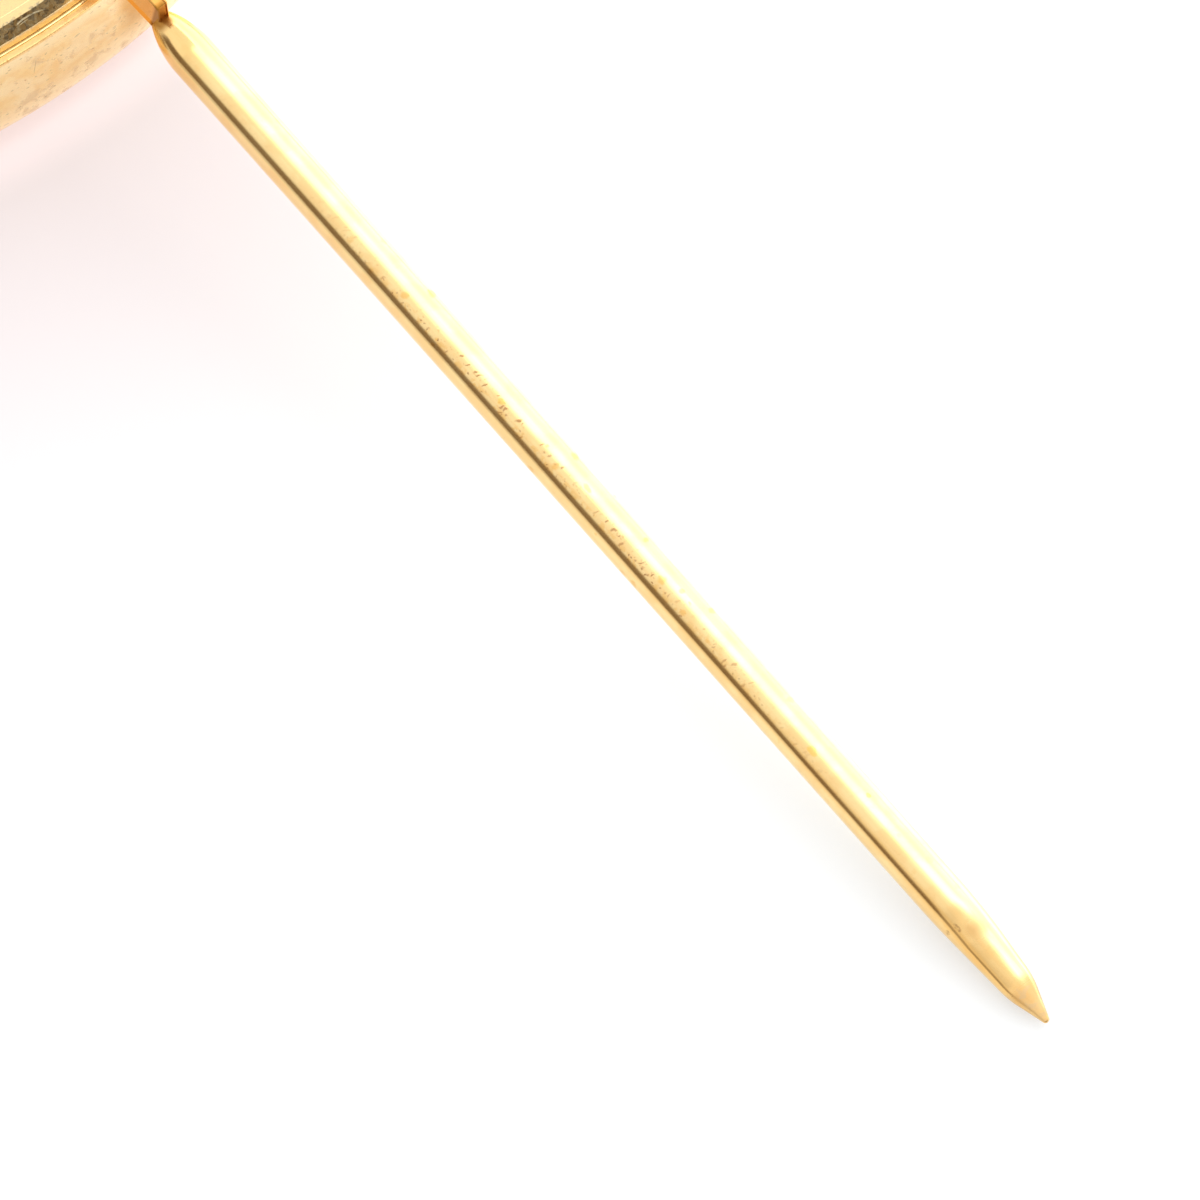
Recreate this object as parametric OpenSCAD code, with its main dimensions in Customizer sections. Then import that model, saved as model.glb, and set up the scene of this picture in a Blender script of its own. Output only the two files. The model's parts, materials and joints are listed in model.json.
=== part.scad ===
// Round gold-plated brooch, lying face down with its pin swung open over the rim.
// +Z is up, away from the face. The origin is the centre of the face that it rests on,
// and the open pin points along +X. All sizes are in millimetres.

/* [Body] */
// Largest radius of the body, low on the wall
body_r = 22; // [20:0.5:25]
// Height of the flat back above the resting face
body_h = 4.6; // [4.4:0.1:5]
// Height at which the rolled edge of the shell ends and the back plate shows
seam_h = 3.84; // [3.6:0.02:3.9]
// Rounding between the wall and the resting border
nose_r = 1.3; // [1:0.1:1.5]
// Convex radius of the wall, seen in section
wall_bulge_r = 9.5; // [8:0.5:12]
// Thickness of the stamped front
front_t = 1.3; // [1.2:0.1:1.5]
// Thickness of the ring that the wall leaves inside the body
wall_t = 1.8; // [1.6:0.1:2]

/* [Front] */
// Radius of the bare field, inside the plain border
field_r = 16.2; // [14:0.2:17]
// Depth of the field at its edge
field_depth = 0.7; // [0.4:0.1:0.8]
// Rise of the field's middle above its edge
field_crown = 0.5; // [0.2:0.1:0.6]
// Width of the slope between the border and the field
field_slope = 0.7; // [0.3:0.1:1]

/* [Back plate] */
// Thickness of the plate
plate_t = 0.7; // [0.5:0.1:0.9]
// Gap between the plate and the rolled edge, seen as the seam
seam_gap = 0.05; // [0.04:0.01:0.1]
// Thickness of the rolled edge at the seam
rolled_t = 0.2; // [0.15:0.05:0.3]
// Depth of the pocket that the plate's rim drops into
pocket_depth = 0.7; // [0.5:0.1:1]
// Height of the narrow lip under the bevel
lip_h = 0.34; // [0.3:0.01:0.4]
// Lean of the lip inwards
lip_lean = 0.09; // [0.05:0.01:0.15]
// Width of the bevel above the lip
bevel_w = 0.31; // [0.25:0.01:0.4]
// Width of the soft turn between the bevel and the flat back
turn_w = 0.2; // [0.1:0.05:0.3]
// Height of that turn
turn_h = 0.07; // [0.04:0.01:0.1]

/* [Hinge] */
// Distance from the plate's widest edge in to the rivet
hinge_inset = 1.66; // [1.65:0.01:2.5]
// Height of the rivet's axis above the flat back
hinge_rise = 1.06; // [1.06:0.01:1.2]
// Radius of the round top of each ear
ear_r = 0.95; // [0.9:0.05:1]
// Thickness of each ear
ear_t = 0.5; // [0.4:0.05:0.7]
// Length of the foot of each ear, from the rivet towards the middle
ear_foot = 1.7; // [1.2:0.1:2.5]
// Radius of the rivet
rivet_r = 0.4; // [0.3:0.05:0.45]
// Radius of the rivet's domed heads
rivet_head_r = 0.62; // [0.55:0.01:0.7]
// Height of the rivet's domed heads
rivet_head_h = 0.25; // [0.15:0.05:0.35]

/* [Pin] */
// Length from the rivet to the point
pin_l = 38.6; // [36:0.05:39]
// Radius of the wire
wire_r = 0.625; // [0.5:0.025:0.65]
// Thickness of the flattened eye and tab
tab_t = 0.35; // [0.3:0.01:0.5]
// Radius of the eye
eye_r = 0.98; // [0.9:0.01:0.98]
// Distance from the rivet to the end of the tab's upper edge
tab_l = 3.82; // [3:0.01:4.5]
// Height of that edge above the wire's axis, where the tab ends
tab_top_h = 0.98; // [0.7:0.01:1]
// Depth of the tab's lower edge below the wire's axis, where the tab ends
tab_foot_h = 0.5; // [0.4:0.01:0.6]
// Length of the tab's sloping end, which runs into the wire
tab_slope = 0.22; // [0.1:0.01:0.3]
// Distance from the rivet to the neck, where the wire begins
neck_l = 3.84; // [3:0.01:4.5]
// Radius of the neck
neck_r = 0.3; // [0.25:0.01:0.4]
// Length of the rounded shoulder, from the neck to the full wire
shoulder_l = 1.3; // [0.9:0.01:2]
// Length of the ground point
point_l = 3; // [2:0.1:5]
// Rounding of the very tip
tip_r = 0.1; // [0.08:0.01:0.15]

/* [Catch] */
// Distance from the middle of the body to the middle of the catch
catch_x = 14.6; // [12:0.1:15]
// Length of the catch along the pin
catch_l = 2.4; // [1.5:0.1:3]
// Height of the catch's two walls above the back
catch_h = 1.9; // [1.7:0.1:2.2]
// Thickness of the catch's walls
catch_t = 0.5; // [0.4:0.05:0.6]
// Space on each side of the closed pin
catch_gap = 0.1; // [0.08:0.01:0.2]
// Width that each wall's mouth flares by
catch_flare = 0.25; // [0.1:0.05:0.35]
// Thickness of the catch's floor
catch_floor_t = 0.28; // [0.2:0.01:0.3]

/* [Hidden] */
$fn = 96;

// Small clearances: seated pieces, the eye that turns on its rivet, and the tab between its ears
seat_gap = 0.03;
running_gap = 0.04;
side_gap = 0.05;
eps = 0.01;

// Wall section: the nose arc runs into the flatter bulge arc where its normal rises by this angle
nose_end_a = 4;
nose_x = body_r - nose_r;
bulge_x = nose_x + (nose_r - wall_bulge_r) * cos(nose_end_a);
bulge_z = nose_r + (nose_r - wall_bulge_r) * sin(nose_end_a);
nose_end_z = nose_r * (1 + sin(nose_end_a));
wall_top_r = bulge_x + sqrt(pow(wall_bulge_r, 2) - pow(seam_h - bulge_z, 2));

// Plate section
pocket_r = wall_top_r - rolled_t;
plate_r = pocket_r - seam_gap;
ledge_h = seam_h - pocket_depth;
plate_foot_h = ledge_h + seat_gap;
cavity_r = body_r - wall_t;
skirt_r = cavity_r + seam_gap;
lip_top_h = seam_h + lip_h;
bevel_top_h = body_h - turn_h;

// Field section: a slightly crowned floor, part of one large ball
crown_ball_r = (pow(field_r, 2) + pow(field_crown, 2)) / (2 * field_crown);
crown_top = field_depth - field_crown;

// Hinge
hinge_x = plate_r - hinge_inset;
hinge_z = body_h + hinge_rise;
ear_in = tab_t / 2 + side_gap;
ear_out = ear_in + ear_t;
head_ball_r = (pow(rivet_head_r, 2) + pow(rivet_head_h, 2)) / (2 * rivet_head_h);

// Pin: the neck, and the shoulder's arc, which is tangent to the full wire
shoulder_end = neck_l + shoulder_l;
shoulder_arc_r = (pow(shoulder_l, 2) + pow(wire_r - neck_r, 2)) / (2 * (wire_r - neck_r));
// The point's arc is tangent to the wire and to the small ball at the tip
point_start = pin_l - point_l;
tip_run = point_l - tip_r;
point_arc_r = (pow(tip_run, 2) + pow(wire_r, 2) - pow(tip_r, 2)) / (2 * (wire_r - tip_r));
point_arc_x = wire_r - point_arc_r;
point_tilt = atan2(tip_run, -point_arc_x);
point_end = point_start + point_arc_r * sin(point_tilt);
// It drops until the underside of the point touches the plane that the face rests on
drop_reach = norm([point_start, point_arc_x]);
pin_drop = acos((point_arc_r - hinge_z) / drop_reach) - atan2(point_start, -point_arc_x);

// Solid outline of the body's wall, from the resting face up to the seam
module wall_section() {
    intersection() {
        translate([nose_x, nose_r]) circle(nose_r);
        translate([nose_x, 0]) square([nose_r, nose_end_z]);
    }
    intersection() {
        translate([bulge_x, bulge_z]) circle(wall_bulge_r, $fn = 360);
        translate([nose_x, nose_end_z]) square([nose_r, seam_h - nose_end_z]);
    }
    square([nose_x, seam_h]);
}

// The hollow that the stamping leaves, with the pocket that the plate drops into
module hollow_section() {
    translate([0, front_t]) square([cavity_r, seam_h]);
    translate([0, ledge_h]) square([pocket_r, seam_h]);
}

// The bare field, cut into the front with a crowned floor and a sloping edge
module field_section() {
    difference() {
        translate([0, -eps]) square([field_r, field_depth + eps]);
        translate([0, crown_top + crown_ball_r]) circle(crown_ball_r, $fn = 1440);
    }
    polygon([
        [field_r - eps, -eps],
        [field_r + field_slope, -eps],
        [field_r + field_slope, 0],
        [field_r, field_depth],
        [field_r - eps, field_depth]
    ]);
}

module front_shell() {
    color("goldenrod")
    rotate_extrude()
    intersection() {
        difference() {
            wall_section();
            hollow_section();
            field_section();
        }
        square([2 * body_r, 2 * body_h]);
    }
}

module plate_disc() {
    rotate_extrude()
    polygon([
        [0, body_h - plate_t],
        [skirt_r, body_h - plate_t],
        [skirt_r, plate_foot_h],
        [plate_r, plate_foot_h],
        [plate_r, seam_h],
        [plate_r - lip_lean, lip_top_h],
        [plate_r - lip_lean - bevel_w, bevel_top_h],
        [plate_r - lip_lean - bevel_w - turn_w, body_h],
        [0, body_h]
    ]);
}

// One ear in side view, about the rivet's axis, with its foot sunk into the plate
module ear_outline() {
    circle(ear_r);
    polygon([
        [-ear_foot, -hinge_rise - eps],
        [ear_r, -hinge_rise - eps],
        [ear_r, 0],
        [-ear_r, 0]
    ]);
}

module hinge_ears() {
    for (side = [-1, 1])
        translate([hinge_x, side * (ear_in + ear_t / 2), hinge_z])
        rotate([90, 0, 0])
        linear_extrude(ear_t, center = true)
        ear_outline();
}

// Plain open catch: a channel that the closed pin drops into
module catch() {
    inner = wire_r + catch_gap;
    outer = inner + catch_t;
    translate([-catch_x, 0, body_h])
    rotate([90, 0, 90])
    linear_extrude(catch_l, center = true)
    polygon([
        [-outer, -eps],
        [outer, -eps],
        [outer, catch_h - catch_flare],
        [outer + catch_flare / 2, catch_h],
        [inner + catch_flare, catch_h],
        [inner, catch_h - 2 * catch_flare],
        [inner, catch_floor_t],
        [-inner, catch_floor_t],
        [-inner, catch_h - 2 * catch_flare],
        [-inner - catch_flare, catch_h],
        [-outer - catch_flare / 2, catch_h],
        [-outer, catch_h - catch_flare]
    ]);
}

module back_plate() {
    color("gold")
    difference() {
        union() {
            plate_disc();
            hinge_ears();
            catch();
        }
        translate([hinge_x, 0, hinge_z])
        rotate([90, 0, 0])
        cylinder(h = 4 * ear_out, r = rivet_r + seat_gap, center = true);
    }
}

module rivet_head() {
    translate([0, 0, ear_out + seat_gap])
    intersection() {
        translate([0, 0, rivet_head_h - head_ball_r]) sphere(head_ball_r);
        cylinder(h = 2 * rivet_head_h, r = 2 * rivet_head_r);
    }
}

module hinge_rivet() {
    color("darkgoldenrod")
    translate([hinge_x, 0, hinge_z])
    rotate([90, 0, 0])
    union() {
        cylinder(h = 2 * (ear_out + seat_gap) + eps, r = rivet_r, center = true);
        for (side = [0, 1])
            mirror([0, 0, side]) rivet_head();
    }
}

// Flattened eye and tab in side view, about the rivet's axis
module tab_outline() {
    circle(eye_r);
    polygon([
        [0, -eye_r],
        [tab_l, -tab_foot_h],
        [tab_l + tab_slope, 0],
        [tab_l, tab_top_h],
        [0, eye_r]
    ]);
}

// Half section of the wire, with its rounded shoulder and ground point: radius across, length up
module wire_section() {
    intersection() {
        translate([wire_r - shoulder_arc_r, shoulder_end]) circle(shoulder_arc_r, $fn = 720);
        translate([0, neck_l]) square([wire_r, shoulder_l]);
    }
    translate([0, shoulder_end]) square([wire_r, point_start - shoulder_end]);
    intersection() {
        translate([point_arc_x, point_start]) circle(point_arc_r, $fn = 720);
        translate([0, point_start]) square([wire_r, point_end - point_start]);
    }
    intersection() {
        translate([0, pin_l - tip_r]) circle(tip_r);
        translate([0, point_end - eps]) square([tip_r, 2 * tip_r]);
    }
}

module pin_stem() {
    color("khaki")
    translate([hinge_x, 0, hinge_z])
    rotate([0, pin_drop, 0])
    difference() {
        union() {
            rotate([90, 0, 0])
            linear_extrude(tab_t, center = true)
            tab_outline();
            rotate([0, 90, 0]) rotate_extrude() wire_section();
        }
        rotate([90, 0, 0])
        cylinder(h = 2 * tab_t, r = rivet_r + running_gap, center = true);
    }
}

front_shell();
back_plate();
hinge_rivet();
pin_stem();
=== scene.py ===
"""Round gold-plated brooch, lying face down on a white table with its pin swung open.

Every length is in millimetres in the part's own frame, and becomes metres where a mesh is made.
"""

import functools
import json
import math

import bpy
import numpy as np
from mathutils import Matrix, Vector


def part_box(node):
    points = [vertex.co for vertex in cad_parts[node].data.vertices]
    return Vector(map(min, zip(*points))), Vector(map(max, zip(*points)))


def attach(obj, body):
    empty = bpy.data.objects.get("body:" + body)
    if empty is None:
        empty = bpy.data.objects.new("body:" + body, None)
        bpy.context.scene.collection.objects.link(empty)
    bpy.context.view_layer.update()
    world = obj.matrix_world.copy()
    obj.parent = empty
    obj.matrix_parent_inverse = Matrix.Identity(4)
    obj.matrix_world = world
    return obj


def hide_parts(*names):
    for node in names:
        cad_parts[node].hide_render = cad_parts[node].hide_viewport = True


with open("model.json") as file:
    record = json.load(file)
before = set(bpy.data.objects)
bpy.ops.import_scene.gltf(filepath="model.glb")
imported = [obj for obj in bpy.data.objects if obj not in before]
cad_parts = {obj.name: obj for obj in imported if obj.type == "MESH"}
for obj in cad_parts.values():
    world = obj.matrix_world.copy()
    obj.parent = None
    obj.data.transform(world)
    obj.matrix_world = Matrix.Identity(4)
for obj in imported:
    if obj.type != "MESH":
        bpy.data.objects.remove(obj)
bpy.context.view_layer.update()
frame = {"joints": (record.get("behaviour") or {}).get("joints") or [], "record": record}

MM = 0.001
scene = bpy.context.scene

# The hinge and the wire, as packed, and the directions beside and above the wire
joint = frame["joints"][0]
shaft = next(m for m in frame["record"]["mounts"] if m["name"] == "pin_shaft")
HINGE = Vector(joint["pos_m"]) / MM
PIN_AXIS = Vector(shaft["axis"]).normalized()
PIN_SIDE = Vector((0, 1, 0))
PIN_RISE = PIN_AXIS.cross(PIN_SIDE)
WIRE_R = shaft["dims"]["r_mm"]

# Body section
BODY_R = round(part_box("front_shell")[1].x / MM, 1)
SEAM_H = round(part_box("front_shell")[1].z / MM, 2)
BODY_H = 4.6
NOSE_R = 1.3
NOSE_END = 4.0
WALL_BULGE_R = 9.5
FRONT_T = 1.3
WALL_T = 1.8
ROLLED_T = 0.2
ROLLED_OUTER_R = 0.04
ROLLED_INNER_R = 0.03
POCKET_DEPTH = 0.7
POCKET_CORNER_R = 0.05
LEDGE_EDGE_R = 0.1
CAVITY_CORNER_R = 0.3

# Front
FIELD_R = 16.2
FIELD_DEPTH = 0.7
FIELD_CROWN = 0.5
FIELD_SLOPE = 0.7
FIELD_EDGE_R = 0.2
BORDER_EDGE_R = 0.15

# Back plate
PLATE_T = 0.7
SEAM_GAP = 0.05
SEAM_DEPTH = 0.03
SEAM_FILL_GAP = 0.008
SEAT_GAP = 0.03
LIP_H = 0.34
LIP_LEAN = 0.07
BEVEL_W = 0.31
TURN_W = 0.2
TURN_H = 0.07
SKIRT_CORNER_R = 0.2
SEAT_EDGE_R = 0.05
LIP_EDGE_R = 0.05
BEVEL_EDGE_R = 0.12
TURN_EDGE_R = 0.05

# Hinge
EAR_R = 0.95
EAR_T = 0.5
EAR_FOOT = 1.7
EAR_EDGE_R = 0.07
EAR_CORNER_R = 0.05
EAR_SOLDER_R = 0.16
SOLDER_SUNK = 0.1
SIDE_GAP = 0.05
RIVET_R = 0.4
RIVET_HEAD_R = 0.62
RIVET_HEAD_H = 0.25
RIVET_EDGE_R = 0.03

# Pin
PIN_L = 38.6
TAB_T = 0.35
EYE_R = 0.98
EYE_GAP = 0.04
TAB_L = 3.82
TAB_TOP_H = 0.98
TAB_FOOT_H = 0.5
TAB_SLOPE = 0.22
TAB_EDGE_R = 0.05
TAB_CORNER_R = 0.1
NECK_L = 3.84
NECK_R = 0.3
SHOULDER_L = 1.3
POINT_L = 3.5
POINT_EASE_R = 22.0
FACET_L = 1.15
FACET_R = 0.45
FACET_EASE_R = 2.6
TIP_R = 0.1
POINT_BEND = 0.12
POINT_FLAT = 0.2
FLAT_START = 3.9
FLAT_L = 1.8

# Catch
CATCH_X = 14.6
CATCH_L = 2.4
CATCH_H = 1.9
CATCH_T = 0.5
CATCH_GAP = 0.1
CATCH_FLARE = 0.25
CATCH_FLOOR_T = 0.28
CATCH_EDGE_R = 0.08
CATCH_LIP_R = 0.08
CATCH_BEND_R = 0.2
CATCH_MOUTH_R = 0.3
CATCH_FLOOR_R = 0.2
CATCH_CORNER_R = 0.1
CATCH_SOLDER_R = 0.2

# Where the wall, the seam and the plate meet
nose_x = BODY_R - NOSE_R
bulge_x = nose_x + (NOSE_R - WALL_BULGE_R) * math.cos(math.radians(NOSE_END))
bulge_z = NOSE_R + (NOSE_R - WALL_BULGE_R) * math.sin(math.radians(NOSE_END))
bulge_end = math.degrees(math.asin((SEAM_H - bulge_z) / WALL_BULGE_R))
wall_top_r = bulge_x + WALL_BULGE_R * math.cos(math.radians(bulge_end))
pocket_r = wall_top_r - ROLLED_T
plate_r = pocket_r - SEAM_GAP
cavity_r = BODY_R - WALL_T
ledge_h = SEAM_H - POCKET_DEPTH
hinge_rise = HINGE.z - BODY_H
ear_in = TAB_T / 2 + SIDE_GAP
ear_out = ear_in + EAR_T

# A turn that stands a flat outline upright, so that it faces along Y
UPRIGHT = Matrix.Rotation(math.radians(90), 4, "X")

# How many sides the turned shapes have: the body, the wire, and the rivet with its bores
BODY_SIDES = 360
WIRE_SIDES = 128
RIVET_SIDES = 96

# A corner of an outline that is moved in or out goes at most this many times as far as its sides
MITRE_LIMIT = 2.0

# A point of a turned outline nearer to the axis than this lies on it
ON_AXIS = 1e-6

# Edges stay sharp where the surface turns by more than this many degrees
CREASE_ANGLE = 38


# Outlines


def arc(centre, radius, start, end, steps):
    """Points on an arc between two angles in degrees."""
    angles = np.radians(np.linspace(start, end, steps + 1))
    return [(centre[0] + radius * math.cos(a), centre[1] + radius * math.sin(a)) for a in angles]


def soften(corners, steps=5):
    """A closed outline through (x, y, radius) corners, rounded by the radius, and left sharp by 0."""
    points = []
    for i, (x, y, radius) in enumerate(corners):
        here = Vector((x, y))
        if radius == 0:
            points.append((x, y))
            continue
        before = (Vector(corners[i - 1][:2]) - here).normalized()
        after = (Vector(corners[(i + 1) % len(corners)][:2]) - here).normalized()
        half = before.angle(after) / 2
        centre = here + (before + after).normalized() * (radius / math.sin(half))
        first = here + before * (radius / math.tan(half)) - centre
        last = here + after * (radius / math.tan(half)) - centre
        for k in range(steps + 1):
            spoke = first.lerp(last, k / steps).normalized() * radius
            points.append(tuple(centre + spoke))
    return points


def offset(outline, distance):
    """The closed outline moved inwards by a small distance. The outline runs anticlockwise."""
    points = np.array(outline)
    ahead = np.roll(points, -1, axis=0) - points
    ahead /= np.linalg.norm(ahead, axis=1)[:, None]
    behind = np.roll(ahead, 1, axis=0)
    normal = np.stack([-(ahead + behind)[:, 1], (ahead + behind)[:, 0]], axis=1)
    normal /= np.linalg.norm(normal, axis=1)[:, None]
    stretch = np.sum(normal * np.stack([-ahead[:, 1], ahead[:, 0]], axis=1), axis=1)
    return points + normal * (distance / np.maximum(stretch, 1 / MITRE_LIMIT))[:, None]


# Meshes


def lathe(profile, sides):
    """Vertices and faces of an outline (r, z) turned about Z. A point on the axis is one vertex."""
    verts, rings, faces = [], [], []
    angles = np.linspace(0, 2 * math.pi, sides, endpoint=False)
    for r, z in profile:
        count = 1 if r < ON_AXIS else sides
        rings.append(range(len(verts), len(verts) + count))
        verts += [(r * math.cos(a), r * math.sin(a), z) for a in angles[:count]]
    for low, high in zip(rings, rings[1:]):
        for i in range(sides):
            j = (i + 1) % sides
            corners = (low[i % len(low)], low[j % len(low)], high[j % len(high)], high[i % len(high)])
            faces.append(tuple(dict.fromkeys(corners)))
    return verts, faces


def stack(layers):
    """Vertices and faces of a solid through equal rings of points, closed at both ends."""
    count = len(layers[0])
    verts = [tuple(p) for layer in layers for p in layer]
    faces = [tuple(range(count))[::-1], tuple(range(len(verts) - count, len(verts)))]
    for k in range(len(layers) - 1):
        for i in range(count):
            j = (i + 1) % count
            faces.append((k * count + i, k * count + j, (k + 1) * count + j, (k + 1) * count + i))
    return verts, faces


def slab(outline, thickness, edge, steps=4):
    """A plate of this outline about z = 0, with rounded edges."""
    layers = []
    for side in (-1, 1):
        for a in np.radians(np.linspace(0, 90, steps + 1)[::-side]):
            inset = offset(outline, edge * (1 - math.cos(a)))
            z = side * (thickness / 2 - edge + edge * math.sin(a))
            layers.append([(x, y, z) for x, y in inset])
    return stack(layers)


def solder(outline, radius, sunk, steps=6):
    """A concave fillet that stands on z = 0 round the foot of a soldered piece."""
    layers = [[(x, y, -sunk) for x, y in offset(outline, -radius)]]
    for a in np.radians(np.linspace(0, 90, steps + 1)):
        spread = offset(outline, -radius * (1 - math.sin(a)))
        layers.append([(x, y, radius * (1 - math.cos(a))) for x, y in spread])
    return stack(layers)


def make(name, shape, place=None):
    """A mesh object of a shape in millimetres, moved to its place."""
    verts, faces = shape
    mesh = bpy.data.meshes.new(name)
    mesh.from_pydata([tuple(v) for v in verts], [], faces)
    if place is not None:
        mesh.transform(place)
    mesh.transform(Matrix.Scale(MM, 4))
    thing = bpy.data.objects.new(name, mesh)
    scene.collection.objects.link(thing)
    return thing


def combine(name, base, added, cut):
    """One closed mesh: the base with the added solids joined on and the cut ones taken out."""
    for operation, others in (("UNION", added), ("DIFFERENCE", cut)):
        for other in others:
            step = base.modifiers.new(other.name, "BOOLEAN")
            step.operation = operation
            step.solver = "MANIFOLD"
            step.object = other
    whole = base.evaluated_get(bpy.context.evaluated_depsgraph_get())
    mesh = bpy.data.meshes.new_from_object(whole)
    for used in (base, *added, *cut):
        bpy.data.meshes.remove(used.data)
    thing = bpy.data.objects.new(name, mesh)
    mesh.name = name
    scene.collection.objects.link(thing)
    return thing


def finish_piece(thing, body, node, material):
    """Smooth shading with creases kept, the material, and the CAD body and node it stands for."""
    thing.data.materials.clear()
    thing.data.materials.append(material)
    thing.data.polygons.foreach_set("use_smooth", [True] * len(thing.data.polygons))
    thing.data.set_sharp_from_angle(angle=math.radians(CREASE_ANGLE))
    even = thing.modifiers.new("even_normals", "WEIGHTED_NORMAL")
    even.keep_sharp = True
    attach(thing, body)
    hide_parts(node)


# Pieces


def front_shell():
    """The round front, its convex wall, and the thin edge rolled in round the back plate."""
    crown_ball_r = (FIELD_R**2 + FIELD_CROWN**2) / (2 * FIELD_CROWN)
    crown_top = FIELD_DEPTH - FIELD_CROWN
    spread = math.degrees(math.asin(FIELD_R / crown_ball_r))
    crown = arc((0, crown_top + crown_ball_r), crown_ball_r, -90, -90 + spread, steps=16)
    nose = arc((nose_x, NOSE_R), NOSE_R, -90, NOSE_END, steps=20)
    bulge = arc((bulge_x, bulge_z), WALL_BULGE_R, NOSE_END, bulge_end, steps=16)
    profile = [
        *((x, y, 0) for x, y in crown[:-1]),
        (FIELD_R, FIELD_DEPTH, FIELD_EDGE_R),
        (FIELD_R + FIELD_SLOPE, 0, BORDER_EDGE_R),
        *((x, y, 0) for x, y in nose + bulge[1:-1]),
        (wall_top_r, SEAM_H, ROLLED_OUTER_R),
        (pocket_r, SEAM_H, ROLLED_INNER_R),
        (pocket_r, ledge_h, POCKET_CORNER_R),
        (cavity_r, ledge_h, LEDGE_EDGE_R),
        (cavity_r, FRONT_T, CAVITY_CORNER_R),
        (0, FRONT_T, 0),
    ]
    return make("front_shell_skin", lathe(soften(profile), BODY_SIDES))


def plate_disc():
    """The bevelled plate, without its ears and its catch."""
    lip_top = SEAM_H + LIP_H
    lip_r = plate_r - LIP_LEAN
    turn_r = lip_r - BEVEL_W
    skirt_r = cavity_r + SEAM_GAP
    profile = [
        (0, BODY_H - PLATE_T, 0),
        (skirt_r, BODY_H - PLATE_T, SKIRT_CORNER_R),
        (skirt_r, ledge_h + SEAT_GAP, SEAT_EDGE_R),
        (pocket_r - SEAM_FILL_GAP, ledge_h + SEAT_GAP, SEAT_EDGE_R),
        (pocket_r - SEAM_FILL_GAP, SEAM_H - SEAM_DEPTH, 0),
        (plate_r, SEAM_H - SEAM_DEPTH, 0),
        (lip_r, lip_top, LIP_EDGE_R),
        (turn_r, BODY_H - TURN_H, BEVEL_EDGE_R),
        (turn_r - TURN_W, BODY_H, TURN_EDGE_R),
        (0, BODY_H, 0),
    ]
    return make("plate_disc", lathe(soften(profile), BODY_SIDES))


def ear_outline():
    """One ear in side view, about the rivet's axis."""
    top = arc((0, 0), EAR_R, 0, 180, steps=40)
    return [(EAR_R, -hinge_rise), *top, (-EAR_FOOT, -hinge_rise)]


def foot_outline(x0, x1, half_width, corner):
    """The rounded rectangle that a soldered piece stands on."""
    corners = [(x0, -half_width), (x1, -half_width), (x1, half_width), (x0, half_width)]
    return soften([(x, y, corner) for x, y in corners])


def catch_outline():
    """The channel of the catch, seen along the closed pin."""
    inner = WIRE_R + CATCH_GAP
    outer = inner + CATCH_T
    half = [
        (outer, 0, 0),
        (outer, CATCH_H - CATCH_FLARE, CATCH_BEND_R),
        (outer + CATCH_FLARE / 2, CATCH_H, CATCH_LIP_R),
        (inner + CATCH_FLARE, CATCH_H, CATCH_LIP_R),
        (inner, CATCH_H - 2 * CATCH_FLARE, CATCH_MOUTH_R),
        (inner, CATCH_FLOOR_T, CATCH_FLOOR_R),
    ]
    return soften(half + [(-x, y, r) for x, y, r in reversed(half)])


def drill(name, radius, half_length, place):
    """A rod that cuts a bore, centred on its place."""
    outline = [(0, -half_length), (radius, -half_length), (radius, half_length), (0, half_length)]
    return make(name, lathe(outline, RIVET_SIDES), place)


def back_plate():
    """The plate with its two ears and its catch soldered on, and the rivet's bore through the ears."""
    added = []
    for side in (-1, 1):
        middle = side * (ear_in + EAR_T / 2)
        place = Matrix.Translation((HINGE.x, middle, HINGE.z)) @ UPRIGHT
        added.append(make(f"ear_{side}", slab(ear_outline(), EAR_T, EAR_EDGE_R), place))
        foot = foot_outline(-EAR_FOOT, EAR_R, EAR_T / 2, EAR_CORNER_R)
        place = Matrix.Translation((HINGE.x, middle, BODY_H))
        added.append(make(f"ear_solder_{side}", solder(foot, EAR_SOLDER_R, SOLDER_SUNK), place))
    at_catch = Matrix.Translation((-CATCH_X, 0, BODY_H))
    along_pin = at_catch @ Matrix.Rotation(math.radians(90), 4, "Z") @ UPRIGHT
    added.append(make("catch", slab(catch_outline(), CATCH_L, CATCH_EDGE_R), along_pin))
    foot = foot_outline(-CATCH_L / 2, CATCH_L / 2, WIRE_R + CATCH_GAP + CATCH_T, CATCH_CORNER_R)
    added.append(make("catch_solder", solder(foot, CATCH_SOLDER_R, SOLDER_SUNK), at_catch))
    bore = drill("rivet_bore", RIVET_R + SEAT_GAP, 2 * ear_out, Matrix.Translation(HINGE) @ UPRIGHT)
    return combine("back_plate_skin", plate_disc(), added, [bore])


def hinge_rivet():
    """The rivet, with a domed head outside each ear."""
    seat = ear_out + SEAT_GAP
    ball_r = (RIVET_HEAD_R**2 + RIVET_HEAD_H**2) / (2 * RIVET_HEAD_H)
    spread = math.degrees(math.asin(RIVET_HEAD_R / ball_r))
    dome = arc((0, seat + RIVET_HEAD_H - ball_r), ball_r, 90 - spread, 90, steps=12)
    half = [
        (RIVET_R, 0, 0),
        (RIVET_R, seat, 0),
        (RIVET_HEAD_R, seat, RIVET_EDGE_R),
        *((x, y, 0) for x, y in dome[1:]),
    ]
    mirrored = [(x, -y, r) for x, y, r in reversed(half[1:])]
    profile = soften(mirrored + half)
    return make("hinge_rivet_skin", lathe(profile, RIVET_SIDES), Matrix.Translation(HINGE) @ UPRIGHT)


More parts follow.
